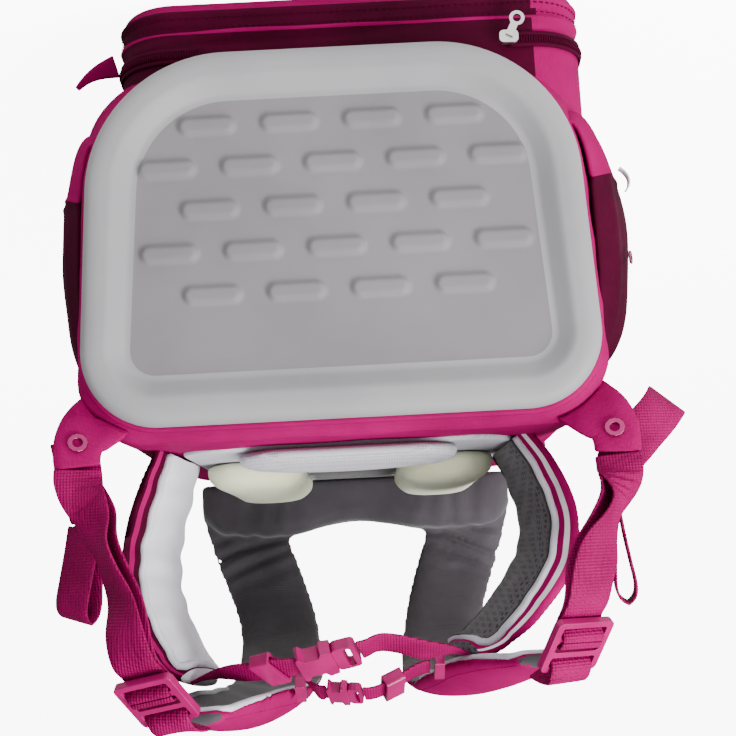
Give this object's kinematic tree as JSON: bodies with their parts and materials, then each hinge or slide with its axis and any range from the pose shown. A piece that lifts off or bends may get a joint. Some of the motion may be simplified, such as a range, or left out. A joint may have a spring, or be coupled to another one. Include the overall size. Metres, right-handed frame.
{
  "type": "school backpack",
  "caption": "School ransel lying on its front: moulded foam base, zipped front pocket, lid flap, padded back with shoulder straps, hip wings and fastened chest and hip belts.",
  "frame": {"origin": "middle of the front pocket's flat face, on which the bag lies", "axes": "+Z from the floor to the wearer's side, +Y from the base to the top of the bag, +X to the side of the left shoulder strap"},
  "size_m": [0.3581, 0.4402, 0.4264],
  "materials": {
    "bag_cloth": "bright magenta woven polyester",
    "dark_cloth": "deep magenta woven polyester",
    "foam_base": "moulded grey foam, matt",
    "lining": "dark grey spacer fabric",
    "mesh": "black air mesh",
    "pale_lining": "light grey knitted fabric",
    "back_pad": "pale yellow-green padded mesh",
    "plastic": "moulded magenta acetal",
    "metal": "nickel-plated, slightly worn"
  },
  "bodies": {
    "root": {"base_tray": "foam_base", "base_piping": "bag_cloth", "body_shell": "bag_cloth", "front_pocket": "bag_cloth", "pocket_zip": "dark_cloth", "side_pocket_left": "dark_cloth", "side_pocket_right": "dark_cloth", "lid": "bag_cloth", "back_panel": "mesh", "lumbar_pad": "pale_lining", "back_pad_left": "back_pad", "back_pad_right": "back_pad", "yoke": "lining", "zip_slider": "metal", "zip_puller": "metal", "lid_clasp": "plastic", "carry_handle": "bag_cloth", "side_eyelet": "metal", "side_loop": "pale_lining", "side_tab": "bag_cloth", "belt_socket": "plastic", "belt_plug": "plastic", "belt_adjuster": "plastic", "chest_socket": "plastic", "chest_plug": "plastic", "chest_adjuster": "plastic", "shoulder_strap_left": "lining", "hip_wing_left": "dark_cloth", "corner_tab_left": "bag_cloth", "tab_eyelet_left": "metal", "ladder_lock_left": "plastic", "lower_webbing_left": "bag_cloth", "webbing_tail_left": "bag_cloth", "strap_anchor_left": "bag_cloth", "pull_loop_left": "bag_cloth", "hip_webbing_left": "bag_cloth", "chest_webbing_left": "bag_cloth", "chest_clip_left": "plastic", "shoulder_strap_right": "lining", "hip_wing_right": "dark_cloth", "corner_tab_right": "bag_cloth", "tab_eyelet_right": "metal", "ladder_lock_right": "plastic", "lower_webbing_right": "bag_cloth", "webbing_tail_right": "bag_cloth", "strap_anchor_right": "bag_cloth", "pull_loop_right": "bag_cloth", "hip_webbing_right": "bag_cloth", "chest_webbing_right": "bag_cloth", "chest_clip_right": "plastic"}
  },
  "joints": []
}
